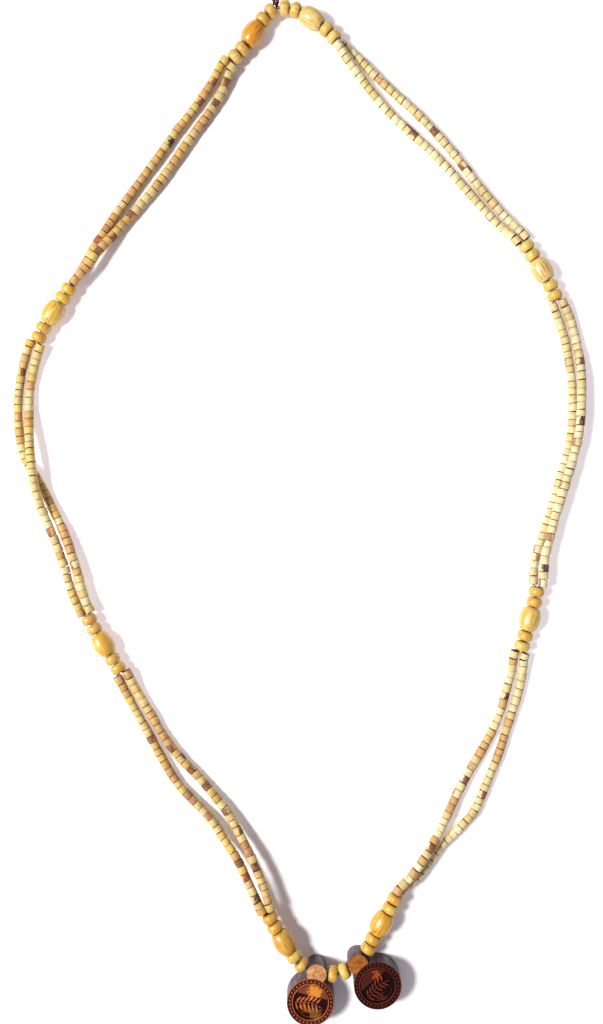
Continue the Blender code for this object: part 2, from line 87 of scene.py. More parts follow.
# How each chain of large beads is strung, and the rows of tube beads between the chains: the same
# points as in the part, as (x, y, lift of the thread above that of a bead lying on the table).
GROUP = ["rondelle", "rondelle", "oval", "rondelle", "rondelle"]
CHAINS = {
    "top": GROUP + ["knot"] + GROUP,
    "upper_right": GROUP,
    "lower_right": GROUP,
    "bottom": GROUP + ["right_pendant", "rondelle", "rondelle", "left_pendant"] + GROUP,
    "lower_left": GROUP,
    "upper_left": GROUP,
}
ROWS = {
    "top_right": dict(
        ends=("top", "upper_right"), fans=(-50, -15), crossing=False,
        inner=[(21, 200.5, 3.2), (25.5, 195, 1.8), (32, 187, 0.4), (39.5, 178.5, 0), (47.5, 171, 0),
               (58, 161.5, 0), (67, 152, 0), (75, 143, 0), (83, 134, 0), (90.5, 126.5, 0)],
        outer=[(22, 206, 0), (27, 201.5, 0), (34, 194.5, 0), (42, 187, 0), (50, 180, 0),
               (58.5, 171.5, 0), (66, 163, 0), (72.5, 155, 0), (78.5, 147, 0), (86, 138, 0), (94, 129.5, 0)]),
    "right": dict(
        ends=("upper_right", "lower_right"), fans=(0, 40), crossing=False,
        inner=[(116, 83.5, 0), (118.5, 74.5, 0), (120, 66, 0), (121, 57, 0), (121.5, 47, 0),
               (121, 38, 0), (119.5, 29, 0), (117, 20, 0), (114, 9, 0), (110, -4, 0),
               (106, -16, 0), (103.5, -25, 0.4)],
        outer=[(120.5, 86, 0), (122.7, 77, 0.4), (124, 69, 1.4), (124.5, 61, 3.1), (124.3, 52, 4),
               (124, 43, 4.2), (123, 34, 4.2), (120.5, 24, 4.1), (117, 12, 4.1), (113.5, 1, 4.2),
               (110.5, -10, 4.1), (108, -20, 4)]),
    "bottom_right": dict(
        ends=("lower_right", "bottom"), fans=(0, -60), crossing=False,
        inner=[(94, -71.5, 0), (91.8, -79, 0), (89.5, -88, 0), (85.5, -97.5, 0), (80.5, -107, 0),
               (75, -116, 0.3), (70, -125, 0.8), (66, -133, 1.6), (61.5, -141.5, 3.2), (57, -149, 5.4),
               (52, -156, 6.4), (47.5, -162, 6.3)],
        outer=[(98.7, -73, 0), (97, -81, 0), (94.5, -89, 0), (91.5, -98, 0), (88.5, -107.5, 0),
               (84.5, -117.5, 0), (80.5, -127, 0), (77, -134.5, 0), (72.5, -139.5, 0), (68.5, -144, 0.1),
               (63.5, -148, 0.3), (59.5, -152.5, 0.9), (54.5, -159, 1.6), (49.5, -165, 1.8)]),
    "bottom_left": dict(
        ends=("bottom", "lower_left"), fans=(-20, 0), crossing=False,
        inner=[(-16, -168, 6.6), (-18.5, -161, 6.2), (-22.5, -152, 5), (-27.5, -143, 3.4), (-33, -134, 1.8),
               (-39.5, -126, 0.6), (-46.5, -118, 0), (-53.5, -111, 0), (-60.5, -102, 0),
               (-67, -91, 0), (-73, -81, 0)],
        outer=[(-20.8, -169.5, 6), (-24.2, -162.5, 5.4), (-28.5, -154, 4.2), (-34.5, -145.5, 2.8),
               (-40, -137.5, 1.4), (-47.5, -130, 0.4), (-55.5, -121.5, 0), (-62, -111, 0),
               (-68.5, -99, 0), (-75, -87.5, 0)]),
    "left": dict(
        ends=("lower_left", "upper_left"), fans=(-15, 0), crossing=True,
        inner=[(-97.3, -36, 2.4), (-99.6, -27, 2.6), (-103, -17, 2), (-107, -7, 0.9), (-111.2, 1, 0.2),
               (-114.8, 8.5, 0), (-118.3, 15, 0), (-122.3, 21, 0), (-125, 27, 0), (-126.3, 35, 0),
               (-127, 46, 0), (-126.3, 56, 0), (-124.5, 66, 0)],
        outer=[(-102.8, -34.8, 2.3), (-105.3, -25, 2.9), (-108.9, -14.5, 3.2), (-112.8, -5, 3.6),
               (-116.2, 4, 4.3), (-118.4, 12, 4.9), (-119.5, 20, 4.9), (-120.4, 28, 4.2),
               (-121.3, 37, 2.4), (-121.8, 45, 0.6),
               (-121.6, 54, 0), (-120, 63, 0)]),
    "top_left": dict(
        ends=("upper_left", "top"), fans=(-75, 0), crossing=False,
        inner=[(-95.5, 108, 4.5), (-91.5, 114, 4.2), (-86, 121, 2.2), (-79.5, 129, 0.3), (-72, 137.5, 0),
               (-64.5, 146.5, 0), (-56.5, 157.5, 0), (-49, 168.5, 0), (-41.5, 178.5, 0), (-35.5, 188, 0)],
        outer=[(-98, 109, 0), (-94.5, 116, 0), (-89.5, 123.5, 0), (-83.5, 132.5, 0), (-77, 141.5, 0),
               (-70, 151, 0), (-63, 160.5, 0), (-56, 170.5, 0), (-48.5, 180, 0), (-41.5, 190, 0)]),
}


def srgb(red, green, blue):
    """A colour as painted swatches name it, 0 to 255, in the linear numbers of a shader."""
    shares = [c / 255 for c in (red, green, blue)]
    return tuple(c / 12.92 if c < 0.04045 else ((c + 0.055) / 1.055) ** 2.4 for c in shares)


# ---------------------------------------------------------------- where the pieces are

def ends_of(node):
    """Centre (millimetres) and direction of a piece on the thread, from its joint."""
    for joint in frame["joints"]:
        if node in (joint["child"], joint["child"] + "_bail"):
            return Vector(joint["pos_m"]) / MM, Vector(joint["axis"])


def chain_pieces(name):
    """(kind, node, centre, way, half length) of each piece of a chain, along the walk."""
    pieces = []
    counts = {"rondelle": 0, "oval": 0}
    for kind in CHAINS[name]:
        if kind in counts:
            counts[kind] += 1
            node = f"{name}_{kind}_{counts[kind]}"
            half = RONDELLE_HALF if kind == "rondelle" else OVAL_HALF
            pieces.append((kind, node, *ends_of(node), half))
        elif kind != "knot":
            pieces.append(("bail", kind + "_bail", *ends_of(kind), BAIL_R))
    return pieces


def outward(direction):
    """The horizontal direction towards the outside of the loop."""
    return UP.cross(direction).normalized()


class Route:
    """A smooth curve through a few points, measured by its own length."""

    def __init__(self, points, steps=12):
        tangents = [(b - a).normalized() for a, b in zip(points[:1] + points[:-1], points[1:] + points[-1:])]
        self.line = [points[0]]
        for i, (a, b) in enumerate(zip(points, points[1:])):
            reach = (b - a).length / 3
            handles = a + tangents[i] * reach, b - tangents[i + 1] * reach
            self.line += interpolate_bezier(a, *handles, b, steps)[1:]
        for point in self.line:
            point.z = max(point.z, TUBE_R)
        self.marks = [0.0]
        for a, b in zip(self.line, self.line[1:]):
            self.marks.append(self.marks[-1] + (b - a).length)
        self.length = self.marks[-1]

    def at(self, s):
        """The point s along the curve."""
        i = 1
        while i < len(self.marks) - 1 and self.marks[i] < s:
            i += 1
        a, b = self.line[i - 1], self.line[i]
        return a + (b - a) * ((s - self.marks[i - 1]) / (self.marks[i] - self.marks[i - 1]))


def row_end(chain, at_end, roll, side):
    """Where a row of tube beads meets a chain, and the direction of the walk there."""
    *_, centre, way, half = CHAIN_PIECES[chain][-1 if at_end else 0]
    across = outward(way)
    across = across * math.cos(math.radians(roll)) + way.cross(across) * math.sin(math.radians(roll))
    reach = half + ROW_GAP
    return centre + way * (reach if at_end else -reach) + across * ROW_OFFSET * side, way


def row_route(row, side):
    """The thread's route through one row of tube beads, from chain to chain."""
    start, start_way = row_end(row["ends"][0], True, row["fans"][0], side)
    end, end_way = row_end(row["ends"][1], False, row["fans"][1], -side if row["crossing"] else side)
    via = [Vector((x, y, z + TUBE_R)) - MIDDLE for x, y, z in row["outer" if side == OUTER else "inner"]]
    return Route([start, start + start_way * LEAD_IN, *via, end - end_way * LEAD_IN, end])


# ---------------------------------------------------------------- mesh helpers

def turned(profile, sides):
    """A bmesh turned about Z from a closed profile of (radius, height) points."""
    bm = bmesh.new()
    verts = [bm.verts.new((r, 0, z)) for r, z in profile]
    edges = [bm.edges.new((a, b)) for a, b in zip(verts, verts[1:] + verts[:1])]
    bmesh.ops.spin(bm, geom=verts + edges, cent=(0, 0, 0), axis=(0, 0, 1), angle=2 * math.pi,
                   steps=sides, use_merge=True)
    bmesh.ops.remove_doubles(bm, verts=bm.verts, dist=1e-4)
    bmesh.ops.recalc_face_normals(bm, faces=bm.faces)
    return bm


def finish_mesh(bm, name, sharp=42):
    """The bmesh, in millimetres, as an object with smooth faces and its sharp edges kept."""
    bmesh.ops.scale(bm, vec=(MM, MM, MM), verts=bm.verts)
    mesh = bpy.data.meshes.new(name)
    bm.to_mesh(mesh)
    bm.free()
    mesh.shade_smooth()
    mesh.set_sharp_from_angle(angle=math.radians(sharp))
    ob = bpy.data.objects.new(name, mesh)
    bpy.context.scene.collection.objects.link(ob)
    return ob


def stand_for(ob, node, slot, body, *materials):
    """Dresses a finished piece and puts it in the place of its CAD node."""
    for mat in materials:
        ob.data.materials.append(mat)
    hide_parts(node)
    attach(ob, body)


def aligned(centre, way, turn=0.0):
    """The place of a piece whose Z runs along the thread, turned about it."""
    place = Matrix.Translation(centre) @ way.to_track_quat("Z", "Y").to_matrix().to_4x4()
    return place @ Matrix.Rotation(turn, 4, "Z")


# ---------------------------------------------------------------- materials

class Finish:
    """A node material, built up step by step. Inputs may be numbers, colours or sockets."""

    def __init__(self, name, **settings):
        self.material = bpy.data.materials.new(name)
        self.material.use_nodes = True
        self.tree = self.material.node_tree
        self.shader = self.tree.nodes["Principled BSDF"]
        for socket, value in settings.items():
            self.shader.inputs[socket.replace("_", " ")].default_value = value

    def node(self, kind, output=0, settings=None, **inputs):
        made = self.tree.nodes.new(kind)
        for key, value in (settings or {}).items():
            setattr(made, key, value)
        for key, value in inputs.items():
            socket = made.inputs[int(key[1:])] if key[1:].isdigit() else made.inputs[key.replace("_", " ")]
            self.put(socket, value)
        return made.outputs[output]

    def put(self, socket, value):
        if isinstance(value, bpy.types.NodeSocket):
            self.tree.links.new(value, socket)
        elif isinstance(value, tuple) and len(value) == 3 and socket.type == "RGBA":
            socket.default_value = (*value, 1)
        else:
            socket.default_value = value

    def attribute(self, name, output="Fac"):
        made = self.tree.nodes.new("ShaderNodeAttribute")
        made.attribute_name = name
        return made.outputs[output]

    def place(self, scale=(1, 1, 1), centre=(0, 0, 0), vector=None):
        """Coordinates in millimetres: the piece's own grain attribute, or the object's about a centre."""
        if vector is None:
            vector = self.node("ShaderNodeTexCoord", output=3)
            scale = tuple(s / MM for s in scale)
        return self.node("ShaderNodeMapping", Vector=self.node(
            "ShaderNodeVectorMath", settings={"operation": "SUBTRACT"}, i0=vector, i1=centre), Scale=scale)

    def noise(self, vector, scale=1.0, detail=3.0, roughness=0.55, distortion=0.0):
        return self.node("ShaderNodeTexNoise", Vector=vector, Scale=scale, Detail=detail,
                         Roughness=roughness, Distortion=distortion)

    def ranged(self, value, low, high, start=0.0, stop=1.0):
        return self.node("ShaderNodeMapRange", settings={"interpolation_type": "SMOOTHSTEP"},
                         i0=value, i1=low, i2=high, i3=start, i4=stop)

    def mix(self, share, a, b, blend="MIX"):
        made = self.tree.nodes.new("ShaderNodeMix")
        made.data_type = "RGBA"
        made.blend_type = blend
        self.put(made.inputs[0], share)
        self.put(made.inputs[6], a)
        self.put(made.inputs[7], b)
        return made.outputs[2]

    def stain(self, share, colour, tone, under=None):
        """Shows a tone, multiplied with the colour (or the one under it), over a share of the colour."""
        return self.mix(share, colour, self.mix(1.0, colour if under is None else under, tone, "MULTIPLY"))

    def away_from(self, x, y):
        """The distance, in millimetres, from a place on the table."""
        return self.node("ShaderNodeVectorMath", output=1, settings={"operation": "LENGTH"},
                         i0=self.place(scale=(1, 1, 0), centre=(x * MM, y * MM, 0)))

    def spot(self, x, y, radius, wander):
        """A soft-edged round patch about a place on the table, its edge wandering with a noise."""
        near = self.away_from(x, y)
        edge = self.times(near, self.ranged(wander, 0.25, 0.75, -1.3, 1.3), "ADD")
        return self.ranged(edge, radius + 0.5, radius - 0.5)

    def times(self, a, b, operation="MULTIPLY"):
        return self.node("ShaderNodeMath", settings={"operation": operation}, i0=a, i1=b)

    def bump(self, height, strength, distance):
        """Adds relief; distance is in millimetres."""
        made = self.tree.nodes.new("ShaderNodeBump")
        self.put(made.inputs["Strength"], strength)
        self.put(made.inputs["Distance"], distance * MM)
        self.put(made.inputs["Height"], height)
        self.put(self.shader.inputs["Normal"], made.outputs[0])

    def colour(self, value):
        self.put(self.shader.inputs["Base Color"], value)

    def roughness(self, value):
        self.put(self.shader.inputs["Roughness"], value)


def sawn_bead_wood():
    """Pale, dry twig wood: fine streaks along each bead, soft blotches, bark marks, and dark sawn edges that
    are partly painted shade of the creases between the beads.
    """
    f = Finish("sawn_bead_wood", Specular_IOR_Level=0.4, Subsurface_Weight=0.12, Subsurface_Scale=0.6 * MM)
    f.shader.inputs["Subsurface Radius"].default_value = (1.0, 0.45, 0.15)
    grain = f.attribute("grain", "Vector")
    tint = f.attribute("tint", "Color")
    streaks = f.noise(f.place(vector=grain, scale=(2.6, 2.6, 0.5)), detail=4)
    blotches = f.noise(f.place(vector=grain, scale=(0.42, 0.42, 0.3)), detail=2)
    colour = f.stain(f.ranged(streaks, 0.45, 0.72, 0, 0.6), tint, srgb(226, 190, 132))
    colour = f.stain(f.ranged(blotches, 0.48, 0.72, 0, 0.75), colour, srgb(240, 206, 128), under=tint)
    # The dark rim colour at each bead's ends is partly the sawn edge and partly painted shade of the crease
    # between beads.
    rim = f.attribute("rim")
    colour = f.mix(f.times(rim, f.ranged(blotches, 0.3, 0.6, 0.75, 1.0)), colour, srgb(66, 32, 12))
    wander = f.ranged(f.noise(f.place(vector=grain, scale=(0.9, 0.9, 0.6))), 0.3, 0.7, -0.2, 0.2)
    left_on = f.ranged(f.times(f.attribute("mark"), wander, "ADD"), 0.52, 0.72)
    bark_colour = f.mix(f.ranged(streaks, 0.44, 0.62), f.attribute("mark_tint", "Color"), srgb(150, 104, 70))
    f.colour(f.mix(left_on, colour, bark_colour))
    f.roughness(f.ranged(streaks, 0.3, 0.7, 0.5, 0.68))
    f.bump(f.times(streaks, f.times(rim, 0.5), "SUBTRACT"), strength=0.35, distance=0.12)
    return f.material


def turned_bead_wood(name, deep, gloss):
    """Turned, oiled wood: pores and growth lines run the length of the bead."""
    f = Finish(name, Coat_Weight=gloss, Coat_Roughness=0.3, Specular_IOR_Level=0.45,
               Subsurface_Weight=0.06, Subsurface_Scale=0.8 * MM)
    f.shader.inputs["Subsurface Radius"].default_value = (1.0, 0.4, 0.1)
    grain = f.attribute("grain", "Vector")
    tint = f.attribute("tint", "Color")
    lines = f.noise(f.place(vector=grain, scale=(1.5, 1.5, 0.08)), detail=6, roughness=0.65, distortion=0.2)
    pores = f.noise(f.place(vector=grain, scale=(7, 7, 0.5)), detail=2)
    bands = f.noise(f.place(vector=grain, scale=(0.22, 0.22, 0.08)), detail=2, distortion=0.3)
    colour = f.stain(f.ranged(lines, 0.45, 0.64, 0, 0.9), tint, deep)
    colour = f.stain(f.ranged(bands, 0.45, 0.7, 0, 0.7), colour, srgb(240, 206, 104), under=tint)
    colour = f.stain(f.ranged(pores, 0.6, 0.74, 0, 0.55), colour, srgb(190, 128, 64))
    # Darker at the bore and on the ends towards it: painted shade of the bore and of the creases between
    # beads.
    f.colour(f.mix(f.attribute("rim"), colour, srgb(96, 46, 14)))
    f.roughness(f.ranged(pores, 0.4, 0.7, 0.36, 0.5))
    f.bump(f.times(lines, pores, "SUBTRACT"), strength=0.25, distance=0.1)
    return f.material


def twisted_thread():
    """Dark brown cotton, fuzzy and matt."""
    f = Finish("twisted_thread", Roughness=0.9, Specular_IOR_Level=0.15)
    strands = f.noise(f.place(scale=(3, 3, 3)), detail=3)
    f.colour(f.mix(f.ranged(strands, 0.35, 0.65), srgb(48, 16, 14), srgb(104, 46, 34)))
    f.bump(strands, strength=0.5, distance=0.08)
    return f.material


def carved_face(name, rubbed, burnt, centre, patches):
    """Stained and burnt carving: the ground is darkest, raised edges are rubbed, patches stay golden."""
    f = Finish(name, Specular_IOR_Level=0.12)
    height = f.node("ShaderNodeSeparateXYZ", output=2, Vector=f.place())
    fibre = f.noise(f.place(scale=(1.3, 4.0, 1.0)), detail=4)
    wander = f.noise(f.place(scale=(0.5, 0.7, 0.2)), detail=3, distortion=0.6)
    level = f.times(height, f.ranged(fibre, 0.2, 0.8, -0.1, 0.1), "ADD")
    raised = f.ranged(level, DISC_TOP - 0.72, DISC_TOP - 0.02)
    colour = f.mix(raised, burnt, rubbed)
    for x, y, radius, golden in patches:
        patch = f.spot(centre.x + x, centre.y + y, radius, wander)
        colour = f.mix(f.times(patch, f.ranged(raised, 0.0, 0.5, 0.35, 1.0)), colour, golden)
    f.colour(f.stain(f.ranged(fibre, 0.5, 0.7, 0, 0.7), colour, srgb(128, 84, 70)))
    f.roughness(f.ranged(fibre, 0.3, 0.7, 0.3, 0.5))
    f.bump(fibre, strength=0.45, distance=0.15)
    return f.material


def bark(name, dark, light):
    """Dark smooth bark round a slice of branch, with fine lines along it."""
    f = Finish(name, Coat_Weight=0.2, Coat_Roughness=0.3, Specular_IOR_Level=0.35)
    lines = f.noise(f.place(scale=(2.4, 2.4, 0.12)), detail=5)
    smudge = f.noise(f.place(scale=(0.35, 0.35, 0.25)), detail=3)
    colour = f.mix(f.ranged(lines, 0.4, 0.68), dark, light)
    f.colour(f.stain(f.ranged(smudge, 0.45, 0.7, 0, 0.6), colour, srgb(150, 110, 100)))
    f.roughness(f.ranged(smudge, 0.3, 0.7, 0.42, 0.62))
    f.bump(lines, strength=0.5, distance=0.2)
    return f.material


def sawn_end(name, centre, pale, deep):
    """Rough sawn end grain: growth rings round the pith, saw marks across."""
    f = Finish(name, Specular_IOR_Level=0.3)
    wander = f.noise(f.place(scale=(0.5, 0.5, 0.5)), detail=3)
    rings = f.node("ShaderNodeTexWave", settings={"wave_type": "RINGS", "rings_direction": "Z"}, output=1,
                   Vector=f.place(scale=(1, 1, 0), centre=centre), Scale=0.42, Distortion=2.2, Detail=2.0)
    fibre = f.noise(f.place(scale=(3.2, 3.2, 3.2)), detail=4)
    saw = f.noise(f.place(scale=(0.35, 4.5, 1)), detail=2)
    colour = f.mix(f.ranged(wander, 0.35, 0.65), pale, deep)
    colour = f.stain(f.times(rings, 0.4), colour, srgb(150, 96, 60))
    f.colour(f.stain(f.ranged(fibre, 0.5, 0.68, 0, 0.7), colour, srgb(140, 100, 76)))
    f.roughness(0.72)
    f.bump(f.times(saw, fibre, "ADD"), strength=0.6, distance=0.2)
    return f.material


# ---------------------------------------------------------------- tube beads

STRAW = srgb(202, 182, 126)
CREAM = srgb(212, 197, 150)
PALE = srgb(218, 208, 170)
YELLOW = srgb(206, 178, 104)
HONEY = srgb(194, 158, 94)
TAN = srgb(192, 156, 102)
RUSSET = srgb(170, 126, 86)
BARK_BROWN = srgb(104, 66, 44)
BARK_BLACK = srgb(46, 34, 34)
BARK_GREY = srgb(92, 80, 74)
RUST = srgb(140, 66, 38)
SUNNY_MIX = [STRAW] * 7 + [YELLOW] * 3 + [CREAM] * 3 + [TAN] * 2 + [HONEY]
TOASTED_MIX = [STRAW] * 5 + [YELLOW] * 3 + [HONEY] * 4 + [TAN] * 4 + [RUSSET]
PALE_MIX = [CREAM] * 7 + [PALE] * 6 + [STRAW] * 2
SHADED_MIX = [CREAM] * 5 + [STRAW] * 4 + [PALE] * 3 + [TAN] * 2
# The rows on the right of the loop take the paler mixes: painted light, for the brighter light on that side.
ROW_MIX = {"top_right": PALE_MIX, "right": PALE_MIX, "bottom_right": SHADED_MIX,
           "bottom_left": TOASTED_MIX, "left": SUNNY_MIX, "top_left": TOASTED_MIX}

# Beads with a patch of bark left on: share along the row, bark, degrees it is turned from the top.
MARKED = {
    ("top_right", INNER): [(0.405, BARK_GREY, -60), (0.44, BARK_BROWN, -10)],
    ("top_right", OUTER): [(0.19, TAN, 40), (0.485, BARK_BROWN, 20), (0.605, BARK_BLACK, -75),
                           (0.69, BARK_BROWN, -60)],
    ("right", OUTER): [(0.2, BARK_BROWN, -30), (0.425, BARK_BLACK, -20), (0.855, RUSSET, 40),
                       (0.955, BARK_BLACK, -5)],
    ("right", INNER): [(0.92, RUSSET, -40)],
    ("bottom_right", INNER): [(0.185, BARK_BLACK, -40), (0.46, TAN, 50), (0.525, BARK_BROWN, -15),
                              (0.79, BARK_BROWN, -10)],
    ("bottom_right", OUTER): [(0.525, RUST, -30)],
    ("bottom_left", OUTER): [(0.06, BARK_BLACK, 45), (0.13, RUST, 20), (0.2, BARK_BROWN, 15),
                              (0.4, RUSSET, 10), (0.46, RUSSET, -10), (0.75, BARK_BROWN, -10)],
    ("bottom_left", INNER): [(0.18, BARK_BLACK, 0), (0.235, RUSSET, 0), (0.375, BARK_BROWN, -30),
                             (0.505, BARK_BROWN, 0), (0.545, TAN, -10), (0.595, BARK_BROWN, -10),
                             (0.705, BARK_BROWN, -20)],
    ("left", INNER): [(0.4, RUSSET, 60), (0.89, BARK_BROWN, 50)],
    ("left", OUTER): [(0.31, RUST, -45)],
    ("top_left", INNER): [(0.14, BARK_BROWN, 5), (0.23, BARK_BROWN, 50), (0.335, BARK_BROWN, -10),
                          (0.87, BARK_BLACK, 10), (0.955, BARK_BROWN, 25)],
    ("top_left", OUTER): [(0.165, RUST, -25), (0.62, BARK_BLACK, 60), (0.82, RUST, 50), (0.92, RUST, 50)],
}
# Beads at the end of a row that are stouter than the rest: which one, how much, and its colour.
STOUT = {
    ("left", INNER): (-1, 1.08, srgb(206, 164, 62)),
    ("bottom_left", OUTER): (0, 1.14, srgb(198, 152, 84)),
}

TUBE_PROFILE = [(0.37, 1), (0.9, 1), (1, 0.86), (1, -0.86), (0.9, -1), (0.37, -1)]  # of a unit bead
TUBE_SIDES = 10
RIM_FROM = 0.95                 # share of the half length past which the bead is dark: its sawn edge, and painted shade of the crease between beads
LENGTHS = 0.84, 1.18            # shortest and longest share of the mean length
WIDTHS = 0.9, 1.02
SAW_GAPS = 0.03, 0.07           # taken off each end
SAW_SLOPE = 0.03                # of a sawn end that isn't square
LEAN = 2.5                      # degrees that a bead leans on the thread
SAME_WOOD = 0.25                # chance that the next bead is cut from the same twig
BARK_CHANCE = 0.12
GRAIN_ROOM = 90                 # how far apart the beads' grain patterns start


def grain_start(rng):
    """Where in the grain pattern a bead is cut from."""
    return Vector((rng.uniform(0, GRAIN_ROOM), rng.uniform(0, GRAIN_ROOM), rng.uniform(0, GRAIN_ROOM)))


def tube_bead_row(name, row, side, wood):
    """One row of small sawn beads, each with its own length, width, tilt and colour."""
    rng = random.Random(f"{name} {side}")
    route = row_route(row, side)
    count = round(route.length / TUBE_STEP)
    shares = [rng.uniform(*LENGTHS) for _ in range(count)]
    scale = route.length / sum(shares)
    stops = [0.0]
    for share in shares:
        stops.append(stops[-1] + share * scale)
    points = [route.at(s) for s in stops]

    template = turned(TUBE_PROFILE, TUBE_SIDES)
    pattern = bpy.data.meshes.new("tube_bead_pattern")
    template.to_mesh(pattern)
    template.free()
    bm = bmesh.new()
    grain = bm.verts.layers.float_vector.new("grain")
    tint = bm.verts.layers.float_color.new("tint")
    mark_tint = bm.verts.layers.float_color.new("mark_tint")
    rim = bm.verts.layers.float.new("rim")
    mark = bm.verts.layers.float.new("mark")
    marks = {round(share * (count - 1)): (bark, turn) for share, bark, turn in MARKED[name, side]}
    stout, stout_size, stout_tint = STOUT.get((name, side), (None, 1, None))
    mix = ROW_MIX[name]
    base = rng.choice(mix)
    for i, (a, b) in enumerate(zip(points, points[1:])):
        if rng.random() < 1 - SAME_WOOD:
            base = rng.choice(mix)
        way = (b - a).normalized()
        radius = TUBE_R * rng.uniform(*WIDTHS)
        half = (b - a).length / 2 - rng.uniform(*SAW_GAPS)
        level = rng.uniform(0.9, 1.05)
        colour = [c * level * rng.uniform(0.97, 1.03) for c in base]
        if stout is not None and i == stout % count:
            radius = TUBE_R * stout_size
            colour = stout_tint
        spot, turn = marks.get(i, (None, 0))
        if spot is None and rng.random() < BARK_CHANCE:
            spot, turn = rng.choice([BARK_BROWN, RUST, RUSSET]), rng.choice((-1, 1)) * rng.uniform(70, 170)
        slopes = [(rng.uniform(-SAW_SLOPE, SAW_SLOPE), rng.uniform(-SAW_SLOPE, SAW_SLOPE)) for _ in range(2)]
        offset = grain_start(rng)
        twist = rng.uniform(0, 2 * math.pi)
        lean = Matrix.Rotation(math.radians(rng.uniform(-LEAN, LEAN)), 4, "X")
        lean = lean @ Matrix.Rotation(math.radians(rng.uniform(-LEAN, LEAN)), 4, "Y")
        top = UP - way * UP.dot(way)
        toward = Matrix.Rotation(math.radians(turn), 3, way) @ top.normalized()
        place = aligned((a + b) / 2, way, twist) @ lean
        first = len(bm.verts)
        bm.from_mesh(pattern)
        bm.verts.ensure_lookup_table()
        for vert in bm.verts[first:]:
            x, y, z = vert.co
            slope = slopes[z > 0]
            # rim: the dark sawn edge, partly painted shade of the crease between beads
            vert[rim] = 1.0 if abs(z) > RIM_FROM else 0.0
            local = Vector((x * radius, y * radius, z * half + (x * slope[0] + y * slope[1]) * radius))
            vert.co = place @ local
            vert[grain] = local + offset
            vert[tint] = (*colour, 1)
            vert[mark_tint] = (*(spot or colour), 1)
            facing = (place.to_3x3() @ Vector((x, y, 0))).normalized().dot(toward)
            vert[mark] = facing if spot else 0.0
    label = f"{name}_tube_beads_{'outer' if side == OUTER else 'inner'}"
    ob = finish_mesh(bm, label + "_sawn")
    bpy.data.meshes.remove(pattern)
    stand_for(ob, label, "small_bead_wood", "string", wood)


# ---------------------------------------------------------------- large beads

RONDELLE_SIDE = [(2.2, 2.15), (2.75, 1.98), (3.18, 1.55), (3.44, 1.0), (3.56, 0.5), (3.6, 0)]
WORN = {"bottom_rondelle_7": 0.9}       # worn shorter, so the twig that swings beside it clears it
OVAL_SIDE = [(2.6, 5.4), (3.15, 5.12), (3.65, 4.5), (4.05, 3.7), (4.36, 2.8), (4.57, 1.9), (4.67, 0.95),
             (4.7, 0)]
OVAL_TINTS = {
    "top_oval_1": srgb(206, 146, 30),
    "top_oval_2": srgb(210, 190, 118),
    "upper_right_oval_1": srgb(212, 192, 124),
    "lower_right_oval_1": srgb(212, 192, 114),
    "bottom_oval_1": srgb(208, 166, 52),
    "bottom_oval_2": srgb(200, 158, 64),
    "lower_left_oval_1": srgb(208, 176, 82),
    "upper_left_oval_1": srgb(208, 178, 74),
}
RONDELLE_TINTS = {
    "top": [srgb(204, 170, 92), srgb(210, 184, 108)],
    "upper_right": [srgb(210, 186, 106), srgb(212, 178, 86)],
    "lower_right": [srgb(210, 186, 100), srgb(208, 172, 80)],
    "bottom": [srgb(204, 166, 76), srgb(210, 184, 98)],
    "lower_left": [srgb(208, 174, 80), srgb(202, 168, 88)],
    "upper_left": [srgb(210, 174, 62), srgb(206, 168, 68)],
}


PAINTED_CREASE_SHADE_R = 3.1                  # the ends are darker inside this radius: painted shade of the crease between beads
PAINTED_CREASE_SHADE_DEPTH = 0.55             # how much darker they get with each millimetre towards the bore


def bored_profile(side):
    """A bead's closed profile from the upper half of its side, with a softened bore mouth."""
    top = side[0][1]
    half = [(BORE_R, top - 0.35), (BORE_R + 0.12, top - 0.1), (BORE_R + 0.4, top)] + side
    return half + [(r, -z) for r, z in reversed(half[:-1])]


def large_bead(node, centre, way, profile, sides, wood, slot, tint):
    """One turned bead, very slightly out of round, with its grain along the thread."""
    rng = random.Random(node)
    bm = turned(profile, sides)
    grain = bm.verts.layers.float_vector.new("grain")
    colour = bm.verts.layers.float_color.new("tint")
    rim = bm.verts.layers.float.new("rim")
    offset = grain_start(rng)
    out_of_round = [(rng.uniform(0, 2 * math.pi), rng.uniform(0.004, 0.014)) for _ in range(3)]
    place = aligned(centre, way, rng.uniform(0, 2 * math.pi))
    for vert in bm.verts:
        x, y, z = vert.co
        angle = math.atan2(y, x)
        swell = 1 - sum(size * (1 + math.cos((k + 1) * angle + phase)) / 2
                        for k, (phase, size) in enumerate(out_of_round))
        radius = math.hypot(x, y)
        # rim: painted shade at the bore mouth, and painted crease shade on the ends towards the bore
        vert[rim] = 1.0 if radius < BORE_R + 0.2 else max(0.0, (PAINTED_CREASE_SHADE_R - radius) * PAINTED_CREASE_SHADE_DEPTH)
        vert[colour] = (*tint, 1)
        vert[grain] = vert.co + offset
        vert.co = place @ Vector((x * swell, y * swell, z))
    ob = finish_mesh(bm, node + "_turned", sharp=50)
    stand_for(ob, node, slot, node, wood)


# ---------------------------------------------------------------- pendants

STUDS = 33                      # round studs in the channel of a carved face
STUD_WIDTH = 1.05
RIM_WIDTH, CHANNEL_WIDTH, INNER_RIM_WIDTH = 0.42, 1.9, 0.42
CHANNEL_DEPTH, FIELD_DEPTH = 0.6, 0.9
EDGE = 0.15                     # softening of the carved edges
STEP_AT, STEP_HEIGHT = 2.9, 0.5  # the field's raised step: how far from the middle, how high
STEM_WIDTH, STEM_HEIGHT = 0.55, 0.85
LEAVES, LEAF_TILT = 6, 58       # leaves on each side of the stem, and their angle from it
LEAF_WIDTH, LEAF_HEIGHT = 1.2, 0.92
BORDER_WIDTH, BORDER_HEIGHT = 0.38, 0.6


